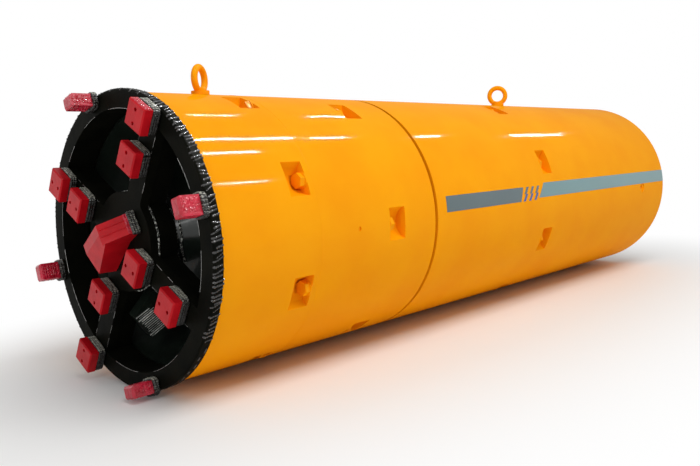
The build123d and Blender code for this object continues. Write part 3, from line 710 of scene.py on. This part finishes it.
ribs = []
for side in (6, 30):
    places = [(NOSE_ANGLE, 44 + 6 * i, side - 0.12 * i) for i in range(10)]
    ribs.append(lay_bead(on_front("centre_bit", places, -1.0), 6.0, 3.4, wander=0.04))
finish_piece(join(ribs), "centre_bit_ribs", red, "cutting_wheel")
collar = []
for station_out in (103, 109):
    places = [(NOSE_ANGLE, station_out, -14 + 6 * i) for i in range(11)]
    collar.append(lay_bead(on_front("centre_bit", places, -2.0), 10, 6, wander=0.14))
finish_piece(join(collar), "centre_bit_collar", red_weld, "cutting_wheel")
root = []
for station, out_by in ((-46, 121), (-54, 118), (-62, 116)):
    run = [spot(station, NOSE_ANGLE, out_by, across) for across in (-24, 52)]
    root.append(lay_bead(run, 12, 6.5))
# The root weld wears black weld metal with painted top light on its upper sides.
finish_piece(join(root), "centre_bit_root_weld", painted_top_light_weld, "cutting_wheel")

# %% [markdown]
# ## Welds on the crusher
# The crusher cone is welded to the hub by a round seam, and its lobes carry rows of hard
# beads that break the stones. The rows are laid by touching the cone from outside.


# %% Beads on the cone
HUB_R = 166
PROBE_FROM = 434
LOBE_HALF = 44
LOBE_SWEEP = 24
ROWS = (52, 62, 74)


def on_side(node, station, angle):
    """The point on the side of a solid, or the next one round if the probe misses."""
    for turn in (angle, angle + 0.5, angle + 1.0):
        point = touch(node, spot(station, turn, PROBE_FROM), -way_out(turn)[0])
        if point is not None:
            return [point]
    return []


seams = []
for quarter in range(4):
    spoke = SPOKE_ANGLE + 90 * quarter
    seams.append(lay_bead(arc(-9, HUB_R + 1, spoke + 16, spoke + 74), 7, 4.5, wander=0.1))
for quarter in range(4):
    lobe = SPOKE_ANGLE + 45 + 90 * quarter
    for station in ROWS:
        row = []
        for i in range(25):
            along = 1 - i / 12
            sink = LOBE_SWEEP * max(0.0, -along) ** 2
            row += on_side("crusher_cone", station + sink + random.uniform(-1, 1), lobe + LOBE_HALF * along)
        seams.append(lay_bead(row, 9, 5, wander=0.16))
# The crusher's welds wear the weld metal with painted glints.
finish_piece(join(seams), "crusher_welds", painted_glint_weld, "cutting_wheel")

# %% [markdown]
# ## Ribs of the crusher arms
# Hard ribs on the arms' leading sides break the stones. A thin bead of pale crust is laid on
# each crown as a painted highlight: it stands in for the bright streaks of light that the
# crowns reflect.

# %% Rib crowns
ARM_PAST = 17.5
RIBS = 13
RIB_TURN = math.radians(30.5)
RIB_CROWN = 24.2
RIB_FRONT, RIB_LOW, RIB_BACK, RIB_TOP = 2, 267, 72, 353
crowns = []
for arm in (SPOKE_ANGLE + ARM_PAST, SPOKE_ANGLE + ARM_PAST + 180):
    for rib in range(RIBS):
        share = (rib + 0.7) / RIBS
        station = RIB_FRONT + (RIB_BACK - RIB_FRONT) * share
        radius = RIB_LOW + (RIB_TOP - RIB_LOW) * share
        begin, end = random.uniform(0, 14), random.uniform(52, 70)
        line = [spot(station + at * math.cos(RIB_TURN), arm, radius - at * math.sin(RIB_TURN), RIB_CROWN)
                for at in (begin, (begin + end) / 2, end)]
        crowns.append(lay_bead(line, random.uniform(2.5, 5.0), 6.0, wander=0.1, slant=0))
finish_piece(join(crowns), "rib_crowns", painted_crown_highlight, "cutting_wheel")

# %% [markdown]
# ## Worn edges
# Paint is thin on a sharp edge and rubs off first. A thin bright line of bare steel along the
# spokes' front edges and the rim's inner edge is worn paint and partly a painted highlight.

# %% Edges of the spokes and the rim
SPOKE_HALF = 41
RIM_IN = WHEEL_R - 63
EDGE_IN, EDGE_OUT = HUB_R + 26, RIM_IN - 22


def worn_and_lit_edge_line(point_at):
    """Short thin beads with gaps along an edge; point_at(t) gives the edge from t = 0 to 1."""
    laid = []
    at = random.uniform(0.0, 0.1)
    while at < 0.95:
        end = min(1.0, at + random.uniform(0.1, 0.3))
        line = [point_at(at + (end - at) * i / 6) for i in range(7)]
        laid.append(lay_bead(line, random.uniform(0.8, 1.5), 4.0, wander=0.1, slant=0))
        at = end + random.uniform(0.03, 0.2)
    return laid


edges = []
for quarter in range(4):
    spoke = SPOKE_ANGLE + 90 * quarter
    for side in (-SPOKE_HALF, SPOKE_HALF):
        edges += worn_and_lit_edge_line(lambda t: spot(-RIM_FACE, spoke, EDGE_IN + (EDGE_OUT - EDGE_IN) * t, side))
    edges += worn_and_lit_edge_line(lambda t: spot(-RIM_FACE, spoke + 9 + 72 * t, RIM_IN))
# Partly a painted highlight: the bright steel lines stand for light caught on the edges as well as worn paint.
finish_piece(join(edges), "worn_edges_and_highlights", steel, "cutting_wheel")

# %% [markdown]
# The scraper bits' front edges are worn too: a thin glossy line runs round each face.

# %% Edges of the scraper bits
lines = []
for bit in lumps("scraper_bits"):
    spoke = spoke_of(bit)
    face = max((point.x - EDGE_X) / MM for point in bit)
    run = outline(bit, spoke, 1.2 - face, -4.4, corner=2, step=2)
    lines.append(lay_bead(run, 1.8, 5.0, closed=True, slant=0))
finish_piece(join(lines), "bit_edges", red_weld, "cutting_wheel")

# %% [markdown]
# ## Seam of the front shield
# The front shield is rolled in two drums. The welded seam between them was ground nearly
# flush and painted over, so it shows as one faint line round the skin.

# %% Seam line
SEAM = (EDGE_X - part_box("drive_skin")[1].x) / MM
seam = lay_bead(arc(SEAM, SKIN_R - 0.4, 0, 357, 3.0), 2.4, 6.0, closed=True, wander=0.05, slant=0)
finish_piece(seam, "drum_seam", yellow, "front_shield")

# %% [markdown]
# ## Screws
# Plates and frames are held by hexagon screws. One screw is shaped from a six-sided
# cylinder: its face is inset and raised, which slopes the rim, and a washer is joined under
# it. Every other one is a copy of its mesh, moved and turned to its place.


# %% Screw helper
def model_screw(across_flats, height):
    """A hexagon screw head with a washer, standing on the origin along +X. Millimetres."""
    bpy.ops.object.select_all(action="DESELECT")
    bpy.ops.mesh.primitive_cylinder_add(
        vertices=6, radius=across_flats / math.sqrt(3) * MM, depth=height * MM,
        location=(height / 2 * MM, 0, 0), rotation=(0, math.radians(90), 0))
    screw = bpy.context.object
    bpy.ops.object.transform_apply(location=True, rotation=True, scale=True)
    bpy.ops.object.mode_set(mode="EDIT")
    select_faces(screw, lambda face: face.normal.x > 0.9)
    bpy.ops.mesh.inset(thickness=0.12 * across_flats * MM, depth=0.0)
    bpy.ops.transform.translate(value=(0.08 * across_flats * MM, 0, 0))
    bpy.ops.object.mode_set(mode="OBJECT")
    bpy.ops.mesh.primitive_cylinder_add(
        vertices=20, radius=0.75 * across_flats * MM, depth=0.14 * across_flats * MM,
        location=(0.05 * across_flats * MM, 0, 0), rotation=(0, math.radians(90), 0))
    washer = bpy.context.object
    bpy.ops.object.transform_apply(location=True, rotation=True, scale=True)
    return join([screw, washer])


def set_screws(name, pattern, places, material, body):
    """Copies a screw to places, each a matrix, and joins the copies into one piece."""
    copies = []
    for place in places:
        copy = pattern.copy()
        copy.data = pattern.data.copy()
        bpy.context.collection.objects.link(copy)
        copy.data.transform(place)
        copies.append(copy)
    finish_piece(join(copies), name, material, body, smooth=25)


def facing_back(point, spin):
    """A place whose outward way is to the rear, spun by some degrees."""
    turned = Matrix.Rotation(math.pi, 4, "Z") @ Matrix.Rotation(math.radians(spin), 4, "X")
    return Matrix.Translation(point) @ turned


# %% [markdown]
# ## Rear wall
# The wall at the back of the open tail carries the laser window, the hatch, the service
# plate and the slurry pipes. Screws go where such plates have them: along their edges.

# %% Rear screws
ACROSS_FLATS, HEAD_HEIGHT = 17, 7
FRAME_SCREWS = 8
screw = model_screw(ACROSS_FLATS, HEAD_HEIGHT)
frame_low, frame_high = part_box("laser_port_frame")
port = (frame_low + frame_high) / 2
ring_r = (frame_high.y - frame_low.y) / 2 - 0.013
places = []
for i in range(FRAME_SCREWS):
    turn = math.radians(22.5 + 45 * i)
    point = Vector((frame_low.x, port.y + ring_r * math.cos(turn), port.z + ring_r * math.sin(turn)))
    places.append(facing_back(point, 45 * i))
set_screws("laser_frame_screws", screw, places, steel, "rear_shield")
for node, count_y, count_z, inset, name in (
    ("hatch_cover", 4, 6, 0.018, "hatch_screws"),
    ("service_plate", 6, 2, 0.013, "service_plate_screws"),
):
    low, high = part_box(node)
    places = []
    for i in range(count_y):
        for j in range(count_z):
            if 0 < i < count_y - 1 and 0 < j < count_z - 1:
                continue
            y = low.y + inset + (high.y - low.y - 2 * inset) * i / (count_y - 1)
            z = low.z + inset + (high.z - low.z - 2 * inset) * j / (count_z - 1)
            places.append(facing_back(Vector((low.x, y, z)), 30 * (i + j)))
    set_screws(name, screw, places, steel, "rear_shield")
bpy.data.objects.remove(screw)

# %% [markdown]
# The hatch opens by a bent round bar. It could be extruded from a ring of points, but a
# smooth curve with a round bevel, made into a mesh, bends evenly as a real bar does.

# %% Hatch handle
hatch_low, hatch_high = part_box("hatch_cover")
back_x = hatch_low.x
middle_z = (hatch_low.z + hatch_high.z) / 2
bar = bpy.data.curves.new("handle", "CURVE")
bar.dimensions = "3D"
bar.bevel_depth = 6 * MM
bar.bevel_resolution = 3
bar.use_fill_caps = True
run = bar.splines.new("NURBS")
BAR_OUT, BAR_BEND = 36, 6
HALF = 60
half_bar = ((0, HALF), (BAR_OUT - BAR_BEND, HALF), (BAR_OUT, HALF), (BAR_OUT, HALF - BAR_BEND))
corners = [(out, -up) for out, up in half_bar] + [(out, up) for out, up in reversed(half_bar)]
run.points.add(len(corners) - 1)
for knot, (out, up) in zip(run.points, corners):
    knot.co = (back_x - out * MM, 0.0, middle_z + up * MM, 1.0)
run.order_u = 3
run.use_endpoint_u = True
handle = bpy.data.objects.new("handle", bar)
bpy.context.collection.objects.link(handle)
only(handle)
bpy.ops.object.convert(target="MESH")
finish_piece(bpy.context.object, "hatch_handle", steel, "rear_shield")

# %% [markdown]
# ## Couplings
# Each service coupling ends in a knurled locking sleeve. A knurl is cut by insetting and
# sinking every second face of a many-sided cylinder.

# %% Coupling sleeves
SLEEVE_R, SLEEVE_LONG = 17.5, 16
SLEEVE_MIDDLE = 14
sleeves = []
for points in lumps("service_couplings"):
    low = [min(point[axis] for point in points) for axis in range(3)]
    high = [max(point[axis] for point in points) for axis in range(3)]
    bpy.ops.object.select_all(action="DESELECT")
    bpy.ops.mesh.primitive_cylinder_add(
        vertices=32, radius=SLEEVE_R * MM, depth=SLEEVE_LONG * MM, rotation=(0, math.radians(90), 0),
        location=(low[0] + SLEEVE_MIDDLE * MM, (low[1] + high[1]) / 2, (low[2] + high[2]) / 2))
    sleeve = bpy.context.object
    bpy.ops.object.transform_apply(location=True, rotation=True, scale=True)
    bpy.ops.object.mode_set(mode="EDIT")
    select_faces(sleeve, lambda face: abs(face.normal.x) < 0.5 and face.index % 2)
    bpy.ops.mesh.inset(thickness=0.4 * MM, depth=-0.9 * MM, use_individual=True)
    select_faces(sleeve, lambda face: face.normal.x < -0.9)
    bpy.ops.mesh.inset(thickness=3 * MM, depth=-1.5 * MM)
    bpy.ops.object.mode_set(mode="OBJECT")
    sleeves.append(sleeve)
finish_piece(join(sleeves), "coupling_sleeves", brass, "rear_shield", smooth=25)

# %% [markdown]
# ## Screws of the bits
# Each scraper bit is held by two socket screws, sunk below its face so that soil can't
# wear them. A short cylinder gets its socket by insetting its face and sinking it.

# %% Sunk screws
SCREW_PITCH = 46
SUNK_AT = -77
bpy.ops.object.select_all(action="DESELECT")
bpy.ops.mesh.primitive_cylinder_add(
    vertices=16, radius=5.8 * MM, depth=10 * MM, rotation=(0, math.radians(90), 0))
sunk = bpy.context.object
bpy.ops.object.transform_apply(location=True, rotation=True, scale=True)
bpy.ops.object.mode_set(mode="EDIT")
select_faces(sunk, lambda face: face.normal.x > 0.9)
bpy.ops.mesh.inset(thickness=2.6 * MM, depth=0.0)
bpy.ops.mesh.inset(thickness=0.2 * MM, depth=-4 * MM)
bpy.ops.object.mode_set(mode="OBJECT")
places = []
for bit in lumps("scraper_bits"):
    spoke = spoke_of(bit)
    out, round_way = way_out(spoke)
    middle_out = sum(reach(bit, out)) / 2
    middle_round = sum(reach(bit, round_way)) / 2
    for along in (-SCREW_PITCH / 2, SCREW_PITCH / 2):
        places.append(Matrix.Translation(spot(SUNK_AT, spoke, middle_out + along, middle_round)))
set_screws("sunk_bit_screws", sunk, places, black_weld, "cutting_wheel")
bpy.data.objects.remove(sunk)

# %% [markdown]
# ## Stage
# A pale plain floor catches the shadow. Far from the machine it melts into the white
# backdrop. The world is white only where the camera or a reflection looks at it, and
# gives a calmer light to everything else.

# %% Floor
bpy.ops.mesh.primitive_circle_add(vertices=96, radius=14.0, fill_type="NGON")
floor = bpy.context.object
floor.name = "floor"
made, tree, where = new_material("pale_studio_floor")
oval = add_node(tree, "ShaderNodeMapping", {"Vector": where, "Scale": (0.5, 1.0, 1.0)})
away = add_node(tree, "ShaderNodeVectorMath", {0: oval.outputs[0]}, operation="LENGTH")
fade = add_node(tree, "ShaderNodeMapRange", {
    "Value": away.outputs["Value"], "From Min": 0.7, "From Max": 1.7}, interpolation_type="SMOOTHSTEP")
matte = add_node(tree, "ShaderNodeBsdfPrincipled", {
    "Base Color": linear("#F2F2F0"), "Roughness": 0.7, "Specular IOR Level": 0.2})
white = add_node(tree, "ShaderNodeEmission", {"Color": (1.0, 1.0, 1.0, 1.0), "Strength": 1.0})
mixed = add_node(tree, "ShaderNodeMixShader", {0: fade.outputs[0], 1: matte.outputs[0], 2: white.outputs[0]})
floor.data.materials.append(finish_material(made, mixed))
print("floor made of", made.name)

# %% World
FILL_LEVEL = 0.31
world = bpy.data.worlds.new("white_room")
bpy.context.scene.world = world
world.use_nodes = True
tree = world.node_tree
tree.nodes.clear()
ray = add_node(tree, "ShaderNodeLightPath")
seen = add_node(tree, "ShaderNodeMath", {0: ray.outputs["Is Camera Ray"], 1: ray.outputs["Is Glossy Ray"]},
                operation="MAXIMUM")
seen = add_node(tree, "ShaderNodeMath", {0: seen.outputs[0], 1: ray.outputs["Is Transmission Ray"]},
                operation="MAXIMUM")
level = add_node(tree, "ShaderNodeMapRange", {"Value": seen.outputs[0], "To Min": FILL_LEVEL, "To Max": 1.0})
light = add_node(tree, "ShaderNodeBackground", {"Color": (1.0, 1.0, 1.0, 1.0), "Strength": level.outputs[0]})
add_node(tree, "ShaderNodeOutputWorld", {"Surface": light.outputs[0]})
print("world made, fill level", FILL_LEVEL)

# %% [markdown]
# ## Lamps
# A big soft lamp from above gives the gradient that makes a cylinder look round: bright
# on top, deep orange near the floor. A smaller one lights the wheel. Short tubes overhead
# draw the streaks on the enamel, as the lights of a workshop do. They are seen in the gloss
# alone, so they don't make the paint paler.


# %% Lamps
def soft_box(name, place, target, width, height, power):
    """A rectangular studio lamp that faces a point."""
    bpy.ops.object.light_add(type="AREA", location=place)
    lamp = bpy.context.object
    lamp.name = name
    lamp.data.shape = "RECTANGLE"
    lamp.data.size = width
    lamp.data.size_y = height
    lamp.data.energy = power
    lamp.rotation_euler = (Vector(target) - Vector(place)).to_track_quat("-Z", "Y").to_euler()
    return lamp


MIDDLE = (0.3, 0.0, 0.6)
soft_box("key_lamp", (0.6, 2.5, 4.8), MIDDLE, 3.8, 2.4, 166)
soft_box("front_lamp", (5.5, 1.6, 2.4), (1.6, 0.0, 0.5), 1.2, 1.6, 26)
TUBE_HEIGHT, TUBE_AIM = 3.6, 0.9
# Each row: how far ahead, how far to the left, length and width in metres, and watts.
TUBES = (
    (-0.85, 0.70, 1.00, 0.10, 80),
    (-1.75, 0.72, 0.50, 0.09, 34),
    (-3.20, 0.72, 0.45, 0.09, 30),
    (-5.40, 0.75, 1.20, 0.12, 110),
    (-2.00, -0.85, 0.60, 0.06, 30),
    (-0.70, -0.85, 0.50, 0.04, 12),
    (-0.80, 1.45, 0.60, 0.09, 42),
    (-1.90, 3.65, 0.65, 0.10, 46),
)
for count, (ahead, across, length, width, power) in enumerate(TUBES):
    lamp = soft_box(f"tube_lamp_{count}", (ahead, across, TUBE_HEIGHT), (ahead, 0.0, TUBE_AIM), length, width, power)
    lamp.visible_diffuse = False
print("lamps:", len(TUBES) + 2)
